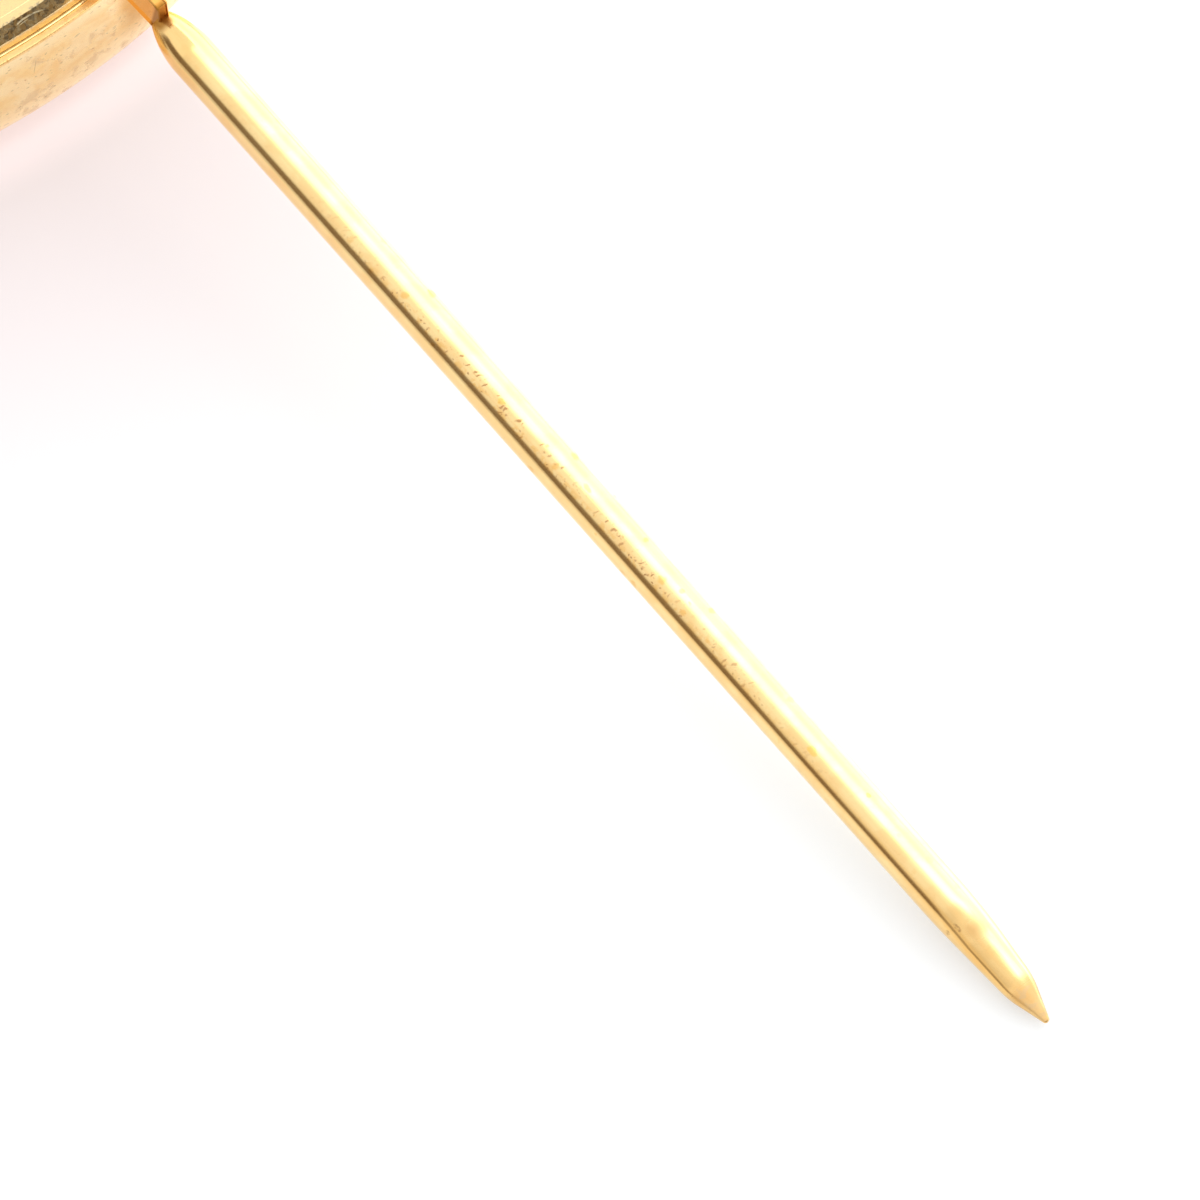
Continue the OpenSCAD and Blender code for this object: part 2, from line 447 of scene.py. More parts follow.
def wire_profile():
    """The wire's outline as (radius, distance from the rivet): shoulder, shaft, ground point and tip."""
    shoulder_end = NECK_L + SHOULDER_L
    shoulder_arc_r = (SHOULDER_L**2 + (WIRE_R - NECK_R) ** 2) / (2 * (WIRE_R - NECK_R))
    shoulder_turn = math.degrees(math.asin(SHOULDER_L / shoulder_arc_r))
    shoulder = arc((WIRE_R - shoulder_arc_r, shoulder_end), shoulder_arc_r, -shoulder_turn, 0, steps=24)
    facet_run = FACET_L - TIP_R
    tilt = math.degrees(math.atan2(FACET_R, facet_run) - math.asin(TIP_R / math.hypot(FACET_R, facet_run)))
    tip = arc((0, PIN_L - TIP_R), TIP_R, tilt, 90, steps=8)
    corners = [
        (0, NECK_L, 0),
        *((x, y, 0) for x, y in shoulder),
        (WIRE_R, PIN_L - POINT_L, POINT_EASE_R),
        (FACET_R, PIN_L - FACET_L, FACET_EASE_R),
        *((x, y, 0) for x, y in tip),
    ]
    return soften(corners, steps=12)


def tab_outline():
    """The flattened eye and tab in side view, about the rivet's axis."""
    eye = arc((0, 0), EYE_R, 90, 270, steps=48)
    corners = [
        *((x, y, 0) for x, y in eye),
        (TAB_L, -TAB_FOOT_H, TAB_CORNER_R),
        (TAB_L + TAB_SLOPE, 0, 0),
        (TAB_L, TAB_TOP_H, TAB_CORNER_R),
    ]
    return soften(corners)


def pin_stem():
    """The wire and the bored tab in one, with the point bent a little aside and ground flat on top."""
    at_hinge = Matrix.Translation(HINGE) @ Matrix((PIN_AXIS, PIN_SIDE, PIN_RISE)).transposed().to_4x4()
    along_pin = at_hinge @ Matrix.Rotation(math.radians(90), 4, "Y")
    wire = make("wire", lathe(wire_profile(), WIRE_SIDES), along_pin)
    tab = make("tab", slab(tab_outline(), TAB_T, TAB_EDGE_R), at_hinge @ UPRIGHT)
    bore = drill("eye_bore", RIVET_R + EYE_GAP, TAB_T, at_hinge @ UPRIGHT)
    pin = combine("pin_stem_skin", wire, [tab], [bore])
    for vertex in pin.data.vertices:
        from_hinge = vertex.co / MM - HINGE
        to_end = PIN_L - from_hinge.dot(PIN_AXIS)
        share = max(0.0, 1 - to_end / POINT_L)
        ground = min(1.0, max(0.0, (FLAT_START - to_end) / FLAT_L))
        lowered = POINT_FLAT * ground**2 * (3 - 2 * ground) * max(0.0, from_hinge.dot(PIN_RISE))
        vertex.co -= (PIN_RISE * lowered + PIN_SIDE * POINT_BEND * share**2) * MM
    return pin


# Shader building blocks

# A speck's smallest size against its largest, and how much of a speck's radius and a mark's area is full
SMALLEST_SPECK = 0.4
SPECK_CORE = 0.5
MARK_CORE = 0.3


class Nodes:
    """A shader's nodes, and a short call for each pattern in use. Lengths are in millimetres."""

    def __init__(self, tree):
        self.tree = tree

    def feed(self, socket, value):
        """An input set to a value, or linked to the output that it follows."""
        if isinstance(value, bpy.types.NodeSocket):
            self.tree.links.new(value, socket)
        else:
            socket.default_value = value

    def add(self, kind, values=None, **settings):
        """A new node with its settings and its inputs."""
        node = self.tree.nodes.new(kind)
        for key, value in settings.items():
            setattr(node, key, value)
        for key, value in (values or {}).items():
            self.feed(node.inputs[key], value)
        return node

    def maths(self, operation, *values):
        return self.add("ShaderNodeMath", dict(enumerate(values)), operation=operation).outputs[0]

    def vector(self, operation, *values):
        node = self.add("ShaderNodeVectorMath", dict(enumerate(values)), operation=operation)
        return node.outputs["Value" if operation == "DOT_PRODUCT" else "Vector"]

    def times(self, *values):
        """The product of several values."""
        return functools.reduce(lambda first, second: self.maths("MULTIPLY", first, second), values)

    def most(self, *values):
        """The largest of several values."""
        return functools.reduce(lambda first, second: self.maths("MAXIMUM", first, second), values)

    def band(self, value, low, high, out_low=0.0, out_high=1.0):
        """A smooth step of a value between two limits. It falls where the second limit is the lower one."""
        values = {"Value": value, "From Min": low, "From Max": high, "To Min": out_low, "To Max": out_high}
        return self.add("ShaderNodeMapRange", values, interpolation_type="SMOOTHSTEP").outputs["Result"]

    def span(self, value, start, full, fading, end):
        """A mask that grows from its start until it is full, and fades until its end."""
        return self.times(self.band(value, start, full), self.band(value, end, fading))

    def joined(self, x, y, z):
        return self.add("ShaderNodeCombineXYZ", {0: x, 1: y, 2: z}).outputs[0]

    def parted(self, place):
        return self.add("ShaderNodeSeparateXYZ", {0: place}).outputs

    def turned(self, place, degrees):
        """The place turned about its third direction."""
        values = {"Vector": place, "Angle": math.radians(degrees)}
        return self.add("ShaderNodeVectorRotate", values, rotation_type="Z_AXIS").outputs[0]

    def crumpled(self, place, per_mm, reach):
        """The place moved a little by noise, so that no spot stays round."""
        wave = self.add("ShaderNodeTexNoise", {"Vector": place, "Scale": per_mm, "Detail": 1.0})
        return self.vector("MULTIPLY_ADD", wave.outputs["Color"], (reach, reach, reach), place)

    def noise(self, place, per_mm, detail, stretch=(1, 1, 1)):
        values = {"Vector": self.vector("MULTIPLY", place, stretch), "Scale": per_mm, "Detail": detail}
        return self.add("ShaderNodeTexNoise", values).outputs["Fac"]

    def clouds(self, place, low, high, floor=0.0, **pattern):
        """Patches of noise: the floor up to the low level, and 1 from the high one on."""
        return self.band(self.noise(place, **pattern), low, high, floor)

    def specks(self, place, per_mm, share, size, stretch=(1, 1, 1)):
        """Scattered spots. A share of a random grid's cells hold one, up to this size against the cell."""
        values = {"Vector": self.vector("MULTIPLY", place, stretch), "Scale": per_mm}
        cells = self.add("ShaderNodeTexVoronoi", values)
        chance = self.add("ShaderNodeSeparateColor", {0: cells.outputs["Color"]}).outputs
        radius = self.maths("MULTIPLY_ADD", chance[1], size * (1 - SMALLEST_SPECK), size * SMALLEST_SPECK)
        spot = self.band(cells.outputs["Distance"], radius, self.times(radius, SPECK_CORE))
        return self.times(spot, self.maths("LESS_THAN", chance[0], share))

    def mark(self, first, second, at_first, at_second, half_first, half_second, lean=0.0):
        """One soft oblong mark, where two lengths take given values."""
        up = self.maths("SUBTRACT", second, at_second)
        over = self.maths("SUBTRACT", self.maths("SUBTRACT", first, at_first), self.times(up, lean))
        over = self.times(over, 1 / half_first)
        up = self.times(up, 1 / half_second)
        return self.band(self.maths("ADD", self.times(over, over), self.times(up, up)), 1.0, MARK_CORE)

    def marks(self, first, second, places):
        """Several such marks."""
        return self.most(*[self.mark(first, second, *place) for place in places])

    def mixed(self, share, first, second):
        """A blend of two colours."""
        node = self.add("ShaderNodeMix", data_type="RGBA")
        for name, value in (("Factor", share), ("A", first), ("B", second)):
            self.feed(node.inputs[name], value)
        return next(output for output in node.outputs if output.type == "RGBA")

    def painted(self, colour, layers):
        """A colour under layers of others: (mask, share, colour)."""
        for mask, share, paint in layers:
            colour = self.mixed(self.times(mask, share), colour, paint)
        return colour

    def relief(self, heights):
        """Bumps one over another: (height, depth)."""
        normal = None
        for height, depth in heights:
            values = {"Height": height, "Distance": depth * MM, "Strength": 1.0}
            if normal is not None:
                values["Normal"] = normal
            normal = self.add("ShaderNodeBump", values).outputs["Normal"]
        return normal

    def frame_place(self):
        """The point being shaded, in the part's frame."""
        coords = self.add("ShaderNodeTexCoord").outputs["Object"]
        return self.vector("MULTIPLY", coords, (1 / MM, 1 / MM, 1 / MM))

    def rim_place(self, place):
        """Length along the rim from the pin, radius and height."""
        x, y, z = self.parted(place)
        turn = self.times(self.maths("ARCTAN2", y, x), BODY_R)
        radius = self.maths("SQRT", self.maths("ADD", self.times(x, x), self.times(y, y)))
        return turn, radius, z

    def wire_place(self, place):
        """Length along the wire from the rivet, distance sideways and height above the wire's axis."""
        from_hinge = self.vector("SUBTRACT", place, HINGE)
        directions = (PIN_AXIS, PIN_SIDE, PIN_RISE)
        return [self.vector("DOT_PRODUCT", from_hinge, direction) for direction in directions]


def new_material(name, metallic=1.0):
    """A new material, with its nodes and its shader."""
    material = bpy.data.materials.new(name)
    material.use_nodes = True
    shader = material.node_tree.nodes["Principled BSDF"]
    shader.inputs["Metallic"].default_value = metallic
    return material, Nodes(material.node_tree), shader


# Materials

GOLD = (0.96, 0.705, 0.335, 1.0)
GOLD_PALE = (1.0, 0.85, 0.53, 1.0)
GOLD_WORN = (0.93, 0.64, 0.285, 1.0)
GOLD_DEEP = (0.84, 0.43, 0.08, 1.0)
GOLD_DULL = (0.68, 0.49, 0.28, 1.0)
AMBER = (0.93, 0.54, 0.11, 1.0)
BROWN = (0.36, 0.13, 0.04, 1.0)
NECK_SHADE_BROWN = (0.36, 0.15, 0.02, 1.0)
TAB_SHADE_BROWN = (0.55, 0.25, 0.02, 1.0)
# Tarnish, and painted shade on the tab's crest and on the highlight near the point
TARNISH_AND_SHADE = (0.34, 0.17, 0.05, 1.0)
GREY_BROWN = (0.24, 0.18, 0.12, 1.0)
DUST = (0.50, 0.47, 0.33, 1.0)
SCRATCHED = (0.62, 0.56, 0.38, 1.0)

# Heights on the wall where it is painted paler as a highlight: above the first pair and below the second
PALE_TOP = (3.1, 3.7)
PALE_FOOT = (2.4, 1.4)

# The rolled edge, as depths below the seam
ROLLED_BAND = (0.11, 0.04)

# The painted brown shade that the tab leaves on the wall: span along the rim, and the heights where it
# grows
SHADE_SPAN = (-0.3, 0.4, 0.9, 1.3)
SHADE_HEIGHTS = (1.3, 2.6)

# Single marks on the wall: distance along the rim, height, half length, half width and lean
WALL_MARKS = [
    (-2.77, 3.06, 0.016, 0.26, 0.33),
    (-1.72, 3.46, 0.06, 0.018, 0.0),
    (-1.42, 3.19, 0.08, 0.016, 0.0),
    (-2.63, 2.60, 0.06, 0.03, 0.5),
    (-3.42, 1.76, 0.06, 0.03, 0.0),
]


def shell_material():
    """Gold plate, mottled and finely scratched along the rim, with dull patches, a few pits, painted
    highlights and the tab's painted shade.
    """
    material, nodes, shader = new_material("shell_gold")
    turn, radius, height = nodes.rim_place(nodes.frame_place())
    rim = nodes.joined(turn, radius, height)
    along = nodes.crumpled(rim, per_mm=3.0, reach=0.25)
    cloud = nodes.clouds(rim, low=0.36, high=0.62, per_mm=1.6, detail=6.0, stretch=(0.7, 1, 1))
    mottle = nodes.clouds(along, low=0.4, high=0.6, per_mm=4.5, detail=4.0, stretch=(0.6, 1, 1))
    patches = nodes.clouds(along, low=0.56, high=0.68, per_mm=2.6, detail=3.0)
    grain = nodes.noise(along, per_mm=6.0, detail=3.0, stretch=(0.5, 1, 1))
    streaks = nodes.specks(along, per_mm=4.2, share=0.5, size=0.22, stretch=(0.4, 1.5, 1.5))
    fine = nodes.specks(along, per_mm=8.0, share=0.5, size=0.32, stretch=(0.5, 1.3, 1.3))
    pits = nodes.specks(along, per_mm=3.0, share=0.12, size=0.2)
    ends = nodes.most(nodes.band(height, *PALE_TOP), nodes.band(height, *PALE_FOOT))
    rolled = nodes.band(height, *(SEAM_H - depth for depth in ROLLED_BAND))
    shade = nodes.times(nodes.span(turn, *SHADE_SPAN), nodes.band(height, *SHADE_HEIGHTS))
    colour = nodes.painted(
        GOLD,
        [
            (mottle, 1.0, GOLD_WORN),
            # Painted highlights at the wall's top and foot, and pale random patches
            (nodes.most(ends, nodes.times(cloud, 0.8)), 0.65, GOLD_PALE),
            (patches, 0.5, GOLD_DULL),
            (nodes.most(streaks, fine), 0.4, GREY_BROWN),
            (pits, 0.5, BROWN),
            # Painted shade of the tab on the wall
            (shade, 0.72, TAB_SHADE_BROWN),
            (rolled, 0.55, GOLD_DEEP),
            (nodes.marks(turn, height, WALL_MARKS), 0.45, GREY_BROWN),
        ],
    )
    dulled = nodes.most(nodes.times(patches, 0.6), streaks, pits)
    nodes.feed(shader.inputs["Base Color"], colour)
    nodes.feed(shader.inputs["Roughness"], nodes.band(dulled, 0.0, 1.0, 0.22, 0.42))
    nodes.feed(shader.inputs["Normal"], nodes.relief([(grain, 0.006)]))
    return material


# Fine scratches on the back: directions in degrees, and how far inside the rim they start and are full
HAIR_ANGLES = (12, 47, 101, 152)
HAIR_INSETS = (0.8, 2.0)

# The bevel: insets from the plate's rim and heights over the seam, where its dust starts and is full
BEVEL_INSETS = (0.46, 0.37)
BEVEL_HEIGHTS = (0.25, 0.4)

# Heights over the seam where the lip's painted highlight and the tarnished groove under it start and are
# full
LIP_BAND = (0.33, 0.27)
GROOVE_BAND = (0.04, -0.01)

# The bright scratch on the bevel: lowest radius, where along the rim, how fast it curves, and its start
BEVEL_SCRATCH = (20.953, -2.47, 0.24, -2.86)

# Its strands: shift outwards, half width and where along the rim each ends
SCRATCH_STRANDS = [
    (0.0, 0.024, -1.75),
    (0.05, 0.012, -2.3),
]

# Lengths along the rim in which the scratch starts and each strand fades
SCRATCH_STARTS_IN = 0.1
SCRATCH_FADES_IN = 0.4


def bevel_scratch(nodes, turn, radius):
    """The curved scratch, as a mask."""
    lowest, middle, curve, start = BEVEL_SCRATCH
    from_middle = nodes.maths("SUBTRACT", turn, middle)
    path = nodes.maths("MULTIPLY_ADD", nodes.times(from_middle, from_middle), curve, lowest)
    off_path = nodes.maths("SUBTRACT", radius, path)
    strands = []
    for shift, half, end in SCRATCH_STRANDS:
        away = nodes.maths("ABSOLUTE", nodes.maths("SUBTRACT", off_path, shift))
        length = nodes.band(turn, end, end - SCRATCH_FADES_IN)
        strands.append(nodes.times(nodes.band(away, half, half / 3), length))
    return nodes.times(nodes.band(turn, start, start + SCRATCH_STARTS_IN), nodes.most(*strands))


def hair_scratches(nodes, place, radius):
    """Fine straight scratches in a few directions, as a mask."""
    hairs = []
    for angle in HAIR_ANGLES:
        run = nodes.turned(place, angle)
        hairs.append(nodes.clouds(run, low=0.66, high=0.71, per_mm=3.0, detail=1.0, stretch=(0.1, 3, 1)))
    return nodes.times(nodes.most(*hairs), nodes.band(radius, *(plate_r - inset for inset in HAIR_INSETS)))


def back_material():
    """Gold plate with faint smudges, dust and grit that lie thickest on the bevel, a painted highlight on
    the lip and painted dark on the bevel.
    """
    material, nodes, shader = new_material("back_gold")
    place = nodes.frame_place()
    turn, radius, height = nodes.rim_place(place)
    along = nodes.crumpled(nodes.joined(turn, radius, height), per_mm=4.0, reach=0.2)
    bevel = nodes.times(
        nodes.band(radius, *(plate_r - inset for inset in BEVEL_INSETS)),
        nodes.band(height, *(SEAM_H + rise for rise in BEVEL_HEIGHTS)),
    )
    lip = nodes.band(height, *(SEAM_H + rise for rise in LIP_BAND))
    groove = nodes.band(height, *(SEAM_H + rise for rise in GROOVE_BAND))
    film = nodes.clouds(along, low=0.44, high=0.62, per_mm=3.6, detail=6.0, stretch=(0.45, 1, 1))
    grit = nodes.clouds(along, low=0.5, high=0.6, per_mm=9.0, detail=5.0)
    grime_and_dark_reflection = nodes.clouds(along, low=0.52, high=0.42, per_mm=7.0, detail=4.0)
    smudge = nodes.clouds(place, low=0.4, high=0.7, per_mm=0.5, detail=6.0)
    ragged = nodes.clouds(along, low=0.4, high=0.55, floor=0.35, per_mm=3.0, detail=3.0, stretch=(1, 3, 3))
    grain = nodes.noise(along, per_mm=8.0, detail=3.0, stretch=(0.5, 1, 1))
    dust = nodes.specks(along, per_mm=11.0, share=0.35, size=0.4)
    lint = nodes.specks(along, per_mm=7.0, share=0.3, size=0.16, stretch=(0.3, 1, 1))
    hairlines = hair_scratches(nodes, place, radius)
    scratch = nodes.times(bevel_scratch(nodes, turn, radius), bevel, ragged)
    settled = nodes.most(nodes.times(film, 0.4), nodes.times(grit, 0.75), nodes.times(dust, 0.8))
    settled = nodes.times(settled, nodes.band(bevel, 0.0, 1.0, 0.12, 0.6))
    pale = nodes.most(settled, nodes.times(lint, 0.35))
    colour = nodes.painted(
        GOLD,
        [
            (smudge, 0.35, GOLD_WORN),
            (hairlines, 0.35, GOLD_PALE),
            # Painted highlight on the lip
            (lip, 0.85, GOLD_PALE),
            (groove, 0.38, TARNISH_AND_SHADE),
            # Dark patches on the bevel: partly grime, partly painted dark reflection of the room
            (nodes.times(grime_and_dark_reflection, bevel), 0.7, GREY_BROWN),
            (pale, 1.0, DUST),
            (scratch, 0.7, SCRATCHED),
        ],
    )
    dusty = nodes.most(nodes.times(pale, 0.45), nodes.times(scratch, 0.8))
    nodes.feed(shader.inputs["Base Color"], colour)
    nodes.feed(shader.inputs["Metallic"], nodes.maths("SUBTRACT", 1.0, dusty))
    nodes.feed(shader.inputs["Roughness"], nodes.band(smudge, 0.0, 1.0, 0.13, 0.2))
    nodes.feed(shader.inputs["Normal"], nodes.relief([(grain, 0.004), (hairlines, -0.0015)]))
    return material


# Where the finish and the painted light change along the wire from the rivet: spans have a start, two full
# ends and an end
MIDDLE_SPAN = (9.0, 15.0, 20.0, 34.0)
NECK_SPAN = (NECK_L - 0.26, NECK_L - 0.1, NECK_L + 0.2, NECK_L + 0.5)
# The root and the band next to it take a painted warm reflection of the gold body
ROOT_BAND = (NECK_L + 0.6, NECK_L - 0.1)
WARM_BAND = (6.4, 4.8)
REFLECTED_LINE_BAND = (16.0, 27.0)
RUBBED_BAND = (24.0, 32.0)
TAIL_BAND = (PIN_L - 6, PIN_L - 2)
# Where a painted shade narrows the highlight near the point
POINT_SHADE_SPAN = (35.2, 35.6, 35.6, 36.2)
POINT_BAND = (PIN_L - FACET_L - 0.2, PIN_L - FACET_L + 0.2)

# The same across the wire, sideways from its axis
FLANK_SIDE = (-0.46, -0.37, -0.17, 0.0)
EDGE_SIDE = (-0.45, -0.41, -0.36, -0.22)
REFLECTED_LINE_SIDE = (-0.57, -0.51, -0.42, -0.33)
NECK_SIDE = (-0.4, -0.22, 0.04, 0.2)
POINT_SHADE_SIDE = (-0.4, -0.1, -0.02, 0.26)
RUBBED_SIDE = (-0.27, -0.49)
TAIL_SIDE = (0.1, -0.15)

# Heights over the wire's axis where its upper half and the painted shade on the crest of the tab start and
# are full
UPPER_BAND = (0.0, 0.2)
CREST_BAND = (0.88, 0.95)

# Dark spots near the point: distance along the wire and sideways, half length and half width
POINT_SPOTS = [
    (35.3, -0.37, 0.17, 0.06),
    (35.2, -0.57, 0.08, 0.03),
]

# Amber stains on the wire, in the same terms
AMBER_STAINS = [
    (17.37, -0.10, 0.14, 0.10),
    (20.54, 0.07, 0.17, 0.08),
    (29.48, -0.10, 0.20, 0.12),
    (31.30, 0.24, 0.11, 0.07),
]

# How far the drawn-out marks in the middle lean, in degrees
MARK_LEAN = -60


def pin_material():
    """Gold plate on drawn wire, with red-brown marks in its middle and tarnish at its point; painted
    reflection and shade at its root, and painted shade near its point.
    """
    material, nodes, shader = new_material("pin_gold")
    along, side, rise = nodes.wire_place(nodes.frame_place())
    wire = nodes.joined(along, side, rise)
    worn = nodes.crumpled(wire, per_mm=6.0, reach=0.14)
    worn_along, worn_side = nodes.parted(worn)[:2]

    upper = nodes.band(rise, *UPPER_BAND)
    middle = nodes.span(along, *MIDDLE_SPAN)
    flank = nodes.times(nodes.span(side, *FLANK_SIDE), upper)
    edge = nodes.times(nodes.span(side, *EDGE_SIDE), upper)
    neck = nodes.times(nodes.span(along, *NECK_SPAN), nodes.span(side, *NECK_SIDE))
    root = nodes.band(along, *ROOT_BAND)
    warm = nodes.band(along, *WARM_BAND)
    crest = nodes.times(root, nodes.band(rise, *CREST_BAND))
    point = nodes.band(along, *POINT_BAND)
    point_shade = nodes.times(nodes.span(along, *POINT_SHADE_SPAN), nodes.span(side, *POINT_SHADE_SIDE))
    tail = nodes.times(nodes.band(along, *TAIL_BAND), nodes.band(side, *TAIL_SIDE))
    reflected_line_tint = nodes.times(nodes.span(side, *REFLECTED_LINE_SIDE), upper, nodes.band(along, *REFLECTED_LINE_BAND, 0.4))
    rubbed = nodes.times(nodes.band(side, *RUBBED_SIDE), nodes.band(along, *RUBBED_BAND))

    patchy = nodes.clouds(wire, low=0.42, high=0.6, per_mm=1.2, detail=4.0)
    draw_lines = nodes.clouds(wire, low=0.48, high=0.66, per_mm=9.0, detail=2.0, stretch=(0.01, 1, 1))
    busy = nodes.clouds(wire, low=0.31, high=0.47, per_mm=1.8, detail=2.0)
    frayed = nodes.clouds(worn, low=0.4, high=0.6, floor=0.2, per_mm=12.0, detail=3.0)
    grime = nodes.times(nodes.clouds(worn, low=0.48, high=0.6, per_mm=4.0, detail=3.0), point)
    rust = nodes.times(nodes.clouds(worn, low=0.46, high=0.58, per_mm=5.0, detail=3.0), edge, middle)
    slant = nodes.turned(worn, MARK_LEAN)
    dashes = nodes.specks(slant, per_mm=1.0, share=0.8, size=0.4, stretch=(2.6, 8.5, 3))
    dots = nodes.times(
        nodes.specks(worn, per_mm=9.0, share=0.9, size=0.42),
        nodes.band(edge, 0.0, 1.0, 0.35),
    )
    where = nodes.band(nodes.times(middle, flank), 0.0, 1.0, 0.05)
    marks = nodes.times(nodes.most(dashes, dots), busy, where)
    stains = nodes.times(
        nodes.specks(worn, per_mm=2.0, share=0.4, size=0.34),
        nodes.band(middle, 0.0, 1.0, 0.25),
    )
    amber = nodes.times(nodes.marks(worn_along, worn_side, AMBER_STAINS), upper)
    spots = nodes.times(nodes.marks(along, side, POINT_SPOTS), frayed)

    colour = nodes.painted(
        GOLD,
        [
            (patchy, 1.0, GOLD_WORN),
            (draw_lines, 0.6, GOLD_WORN),
            # Painted warm reflection of the gold body, and shade, on the root and the wire near it
            (nodes.most(nodes.times(root, 0.85), nodes.times(warm, 0.3)), 1.0, GOLD_DEEP),
            (nodes.times(point, nodes.band(patchy, 0.0, 1.0, 0.25, 0.5)), 1.0, GOLD_DEEP),
            (tail, 0.3, GOLD_DEEP),
            # Painted deeper colour on the dark line that the room reflects along the wire
            (reflected_line_tint, 0.36, GOLD_DEEP),
            (nodes.most(nodes.times(point, 0.3), nodes.times(grime, 0.6)), 1.0, GOLD_DULL),
            (stains, 0.55, GOLD_DEEP),
            (rust, 0.45, GOLD_DEEP),
            (amber, 0.65, AMBER),
            # Painted shade across part of the highlight near the point, on a rougher patch
            (point_shade, 0.35, TARNISH_AND_SHADE),
            (spots, 0.6, TARNISH_AND_SHADE),
            # Painted shade on the crest of the tab
            (crest, 0.35, TARNISH_AND_SHADE),
            (marks, 0.7, BROWN),
            # Painted shade in the notch where the tab meets the wire
            (neck, 0.85, NECK_SHADE_BROWN),
        ],
    )
    dulled = nodes.most(nodes.times(marks, 0.6), neck, crest, point_shade, nodes.times(point, 0.6))
    nodes.feed(shader.inputs["Base Color"], colour)
    nodes.feed(shader.inputs["Roughness"], nodes.band(dulled, 0.0, 1.0, 0.17, 0.45))
    nodes.feed(shader.inputs["Normal"], nodes.relief([(draw_lines, 0.0004), (rubbed, 0.016)]))
    return material


# Stage

TABLE_R = 4000.0
TABLE_DROP = 0.01
TABLE_GREY = (0.5, 0.5, 0.5, 1.0)
TABLE_ROUGHNESS = 0.7
# Glow colours near the body, with painted shade and reflected gold, and farther out
TABLE_NEAR = (0.38, 0.30, 0.31, 1.0)
TABLE_FAR = (0.46, 0.48, 0.49, 1.0)

# How far out from the body the painted shade and reflected gold tint the table, and the width and strength
# of the painted glow beside it
TINT_BAND = (1, 18)
BODY_GLOW_W = 1.5
BODY_GLOW = 0.5

# Where the table is painted brighter beyond the pin, how much, and where it is painted dimmer on the near
# side
BRIGHT_Y = (0.0, 5.0)
BRIGHT_X = (6.0, 20.0)
BRIGHT = 4.8
DIM_Y = (-55.0, -20.0)
DIM = 0.2

CAMERA_ELEVATION = 67.0
CAMERA_AZIMUTH = 48.51
CAMERA_DISTANCE = 800.0
SENSOR_W = 36.0
CLIP_NEAR = 10.0
CLIP_FAR = 20000.0
PHOTO_W = 1200
PX_PER_MM = 39.2
WIRE_END_PX = (1051.4, 1019.4)

# Brightness of the surroundings from the near horizon over the top to the far horizon, in degrees
SKY = [
    (0, 0.85),
    (24, 0.72),
    (31, 0.79),
    (38, 0.88),
    (52, 0.92),
    (61, 1.0),
    (72, 1.08),
    (80, 1.25),
    (88, 1.8),
    (98, 3.0),
    (110, 3.0),
    (120, 2.55),
    (130, 2.1),
    (138, 1.85),
    (148, 1.9),
    (158, 2.15),
    (168, 2.35),
    (174, 2.2),
    (180, 1.7),
]
SKY_TOP = 3.1
EXPOSURE = 1.13

# A direction's reach is its cosine with the pin. Between these reaches the bands of light start to lean
LEAN_REACH = (-0.11, -0.03)
LEAN_ANGLE = 22.0

# The box of light ends at these reaches at the root and the point, but past these angles not at the root
BOX_ROOT_REACH = (-0.24, -0.19)
BOX_POINT_REACH = (0.12, 0.04)
BOX_OPENS = (112, 128)

# Brightness of the even tent beyond the box's ends
TENT_LEVEL = 1.03

# The dark room: its colour, and the heights of its foot, its top and its soft upper edge in degrees
ROOM_DARK = (0.19, 0.15, 0.11, 1.0)
ROOM_FOOT = (0.0, 2.0)
ROOM_TOP = 29.0
ROOM_EDGE = 4.0

# Bearings, as cosines with X and Y, where the room ends
ROOM_END_X = (-0.74, -0.6)
ROOM_END_Y = (0.7, 0.3)

# Where the room is lower and paler: bearings, by how many degrees, and its share of the dark
GAP_SPAN = (-0.11, -0.03, 0.6, 0.8)
GAP_DROP = 9.0
GAP_SHARE = 0.65


def table():
    """White light table, a hair below the brooch so that the two never share a plane, with painted shade
    and light round the brooch.
    """
    mesh = bpy.data.meshes.new("table")
    corners = [(-TABLE_R, -TABLE_R), (TABLE_R, -TABLE_R), (TABLE_R, TABLE_R), (-TABLE_R, TABLE_R)]
    mesh.from_pydata([(x * MM, y * MM, -TABLE_DROP * MM) for x, y in corners], [], [(0, 1, 2, 3)])
    thing = bpy.data.objects.new("table", mesh)
    scene.collection.objects.link(thing)
    material, nodes, shader = new_material("table_white", metallic=0.0)
    place = nodes.frame_place()
    x, y = nodes.parted(place)[:2]
    radius = nodes.rim_place(place)[1]
    # Painted shade and reflected gold near the body, a painted glow at its foot, a painted pool of light
    # beyond the pin and painted dimming on the near side
    tint = nodes.band(radius, *(BODY_R + distance for distance in TINT_BAND))
    by_body = nodes.band(radius, BODY_R + BODY_GLOW_W, BODY_R, 0.0, BODY_GLOW)
    beyond_pin = nodes.times(nodes.band(y, *BRIGHT_Y), nodes.band(x, *BRIGHT_X))
    level = nodes.times(nodes.band(beyond_pin, 0.0, 1.0, 1.0, BRIGHT), nodes.band(y, *DIM_Y, DIM))
    nodes.feed(shader.inputs["Base Color"], TABLE_GREY)
    nodes.feed(shader.inputs["Roughness"], TABLE_ROUGHNESS)
    nodes.feed(shader.inputs["Specular IOR Level"], 0.0)
    nodes.feed(shader.inputs["Emission Color"], nodes.mixed(tint, TABLE_NEAR, TABLE_FAR))
    nodes.feed(shader.inputs["Emission Strength"], nodes.maths("ADD", level, by_body))
    mesh.materials.append(material)


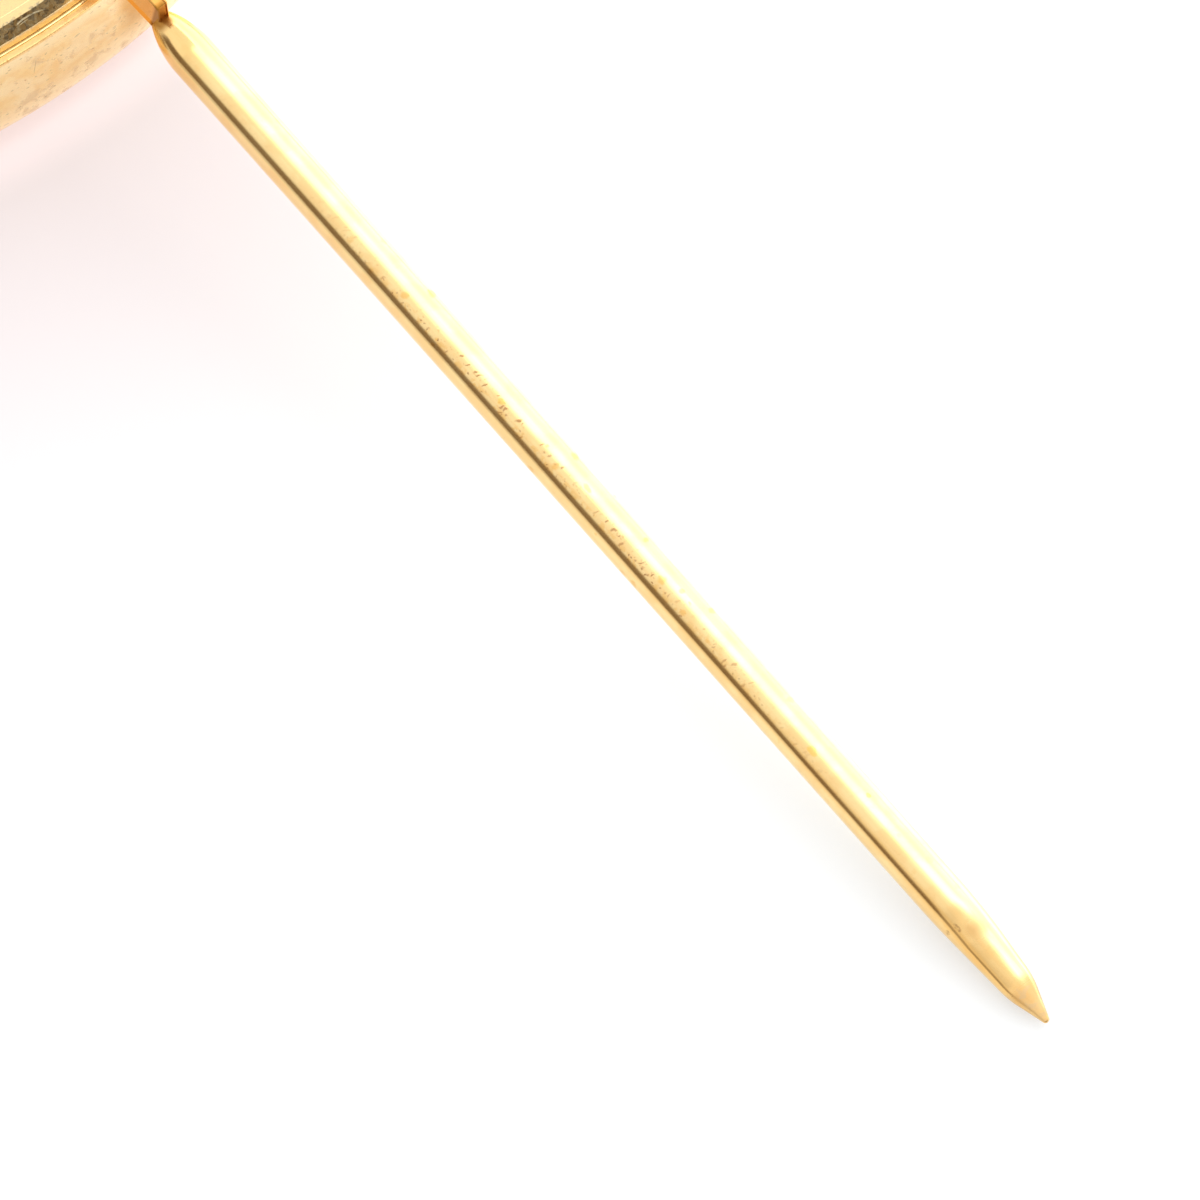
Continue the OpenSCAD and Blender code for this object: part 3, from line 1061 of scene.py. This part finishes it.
def tent_light(nodes, direction, y, z):
    """Brightness of the box of light and the tent round it."""
    over = nodes.maths("ARCTAN2", z, nodes.times(y, -1.0))
    reach = nodes.vector("DOT_PRODUCT", direction, PIN_AXIS)
    lean = nodes.band(reach, *LEAN_REACH, 0.0, math.radians(LEAN_ANGLE))
    across = nodes.times(nodes.maths("SUBTRACT", over, lean), 1 / math.pi)
    ramp = nodes.add("ShaderNodeValToRGB", {0: across})
    stops = ramp.color_ramp.elements
    while len(stops) < len(SKY):
        stops.new(0.5)
    for stop, (angle, level) in zip(stops, SKY):
        share = level / SKY_TOP
        stop.position = angle / 180
        stop.color = (share, share, share, 1.0)
    opened = nodes.band(over, *(math.radians(angle) for angle in BOX_OPENS))
    root_end = nodes.band(nodes.maths("ADD", reach, opened), *BOX_ROOT_REACH)
    box = nodes.times(root_end, nodes.band(reach, *BOX_POINT_REACH))
    light = nodes.times(ramp.outputs["Color"], SKY_TOP, box)
    return nodes.maths("ADD", light, nodes.band(box, 0.0, 1.0, TENT_LEVEL, 0.0))


def dark_room(nodes, x, y, z):
    """Where the dark room is seen low round the table, as a mask."""
    height = nodes.times(nodes.maths("ARCSINE", z), 180 / math.pi)
    flat = nodes.maths("SQRT", nodes.maths("SUBTRACT", 1.0001, nodes.times(z, z)))
    bearing_x = nodes.maths("DIVIDE", x, flat)
    bearing_y = nodes.maths("DIVIDE", y, flat)
    gap = nodes.span(bearing_x, *GAP_SPAN)
    top = nodes.maths("MULTIPLY_ADD", gap, -GAP_DROP, ROOM_TOP)
    return nodes.times(
        nodes.band(height, *ROOM_FOOT),
        nodes.band(nodes.maths("SUBTRACT", height, top), ROOM_EDGE, -ROOM_EDGE),
        nodes.band(bearing_y, *ROOM_END_Y),
        nodes.band(bearing_x, *ROOM_END_X),
        nodes.band(gap, 0.0, 1.0, 1.0, GAP_SHARE),
    )


def studio():
    """Soft light: a bright box overhead and beyond the pin, a paler tent, and the dark room under them."""
    world = bpy.data.worlds.new("studio")
    scene.world = world
    world.use_nodes = True
    nodes = Nodes(world.node_tree)
    direction = nodes.add("ShaderNodeTexCoord").outputs["Generated"]
    x, y, z = nodes.parted(direction)
    light = tent_light(nodes, direction, y, z)
    colour = nodes.mixed(dark_room(nodes, x, y, z), nodes.joined(light, light, light), ROOM_DARK)
    background = world.node_tree.nodes["Background"]
    nodes.feed(background.inputs["Color"], colour)
    background.inputs["Strength"].default_value = EXPOSURE


def camera():
    """A far camera over the near side, placed so that the wire's end falls where the photo has it."""
    azimuth, elevation = math.radians(CAMERA_AZIMUTH), math.radians(CAMERA_ELEVATION)
    right = Vector((math.cos(azimuth), math.sin(azimuth), 0))
    level = Vector((math.sin(azimuth), -math.cos(azimuth), 0))
    back = level * math.cos(elevation) + Vector((0, 0, math.sin(elevation)))
    up = back.cross(right)
    across = (WIRE_END_PX[0] - PHOTO_W / 2) / PX_PER_MM
    down = (WIRE_END_PX[1] - PHOTO_W / 2) / PX_PER_MM
    target = HINGE + PIN_AXIS * PIN_L - right * across + up * down
    data = bpy.data.cameras.new("camera")
    data.sensor_width = SENSOR_W
    data.lens = SENSOR_W * CAMERA_DISTANCE * PX_PER_MM / PHOTO_W
    data.clip_start = CLIP_NEAR * MM
    data.clip_end = CLIP_FAR * MM
    thing = bpy.data.objects.new("camera", data)
    scene.collection.objects.link(thing)
    turn = Matrix((right, up, back)).transposed().to_4x4()
    thing.matrix_world = Matrix.Translation((target + back * CAMERA_DISTANCE) * MM) @ turn
    scene.camera = thing


camera()
table()
studio()
scene.view_settings.view_transform = "Standard"

shell_gold = shell_material()
back_gold = back_material()
pin_gold = pin_material()

finish_piece(front_shell(), "brooch_body", "front_shell", shell_gold)
finish_piece(back_plate(), "brooch_body", "back_plate", back_gold)
finish_piece(hinge_rivet(), "brooch_body", "hinge_rivet", back_gold)
finish_piece(pin_stem(), "pin", "pin_stem", pin_gold)
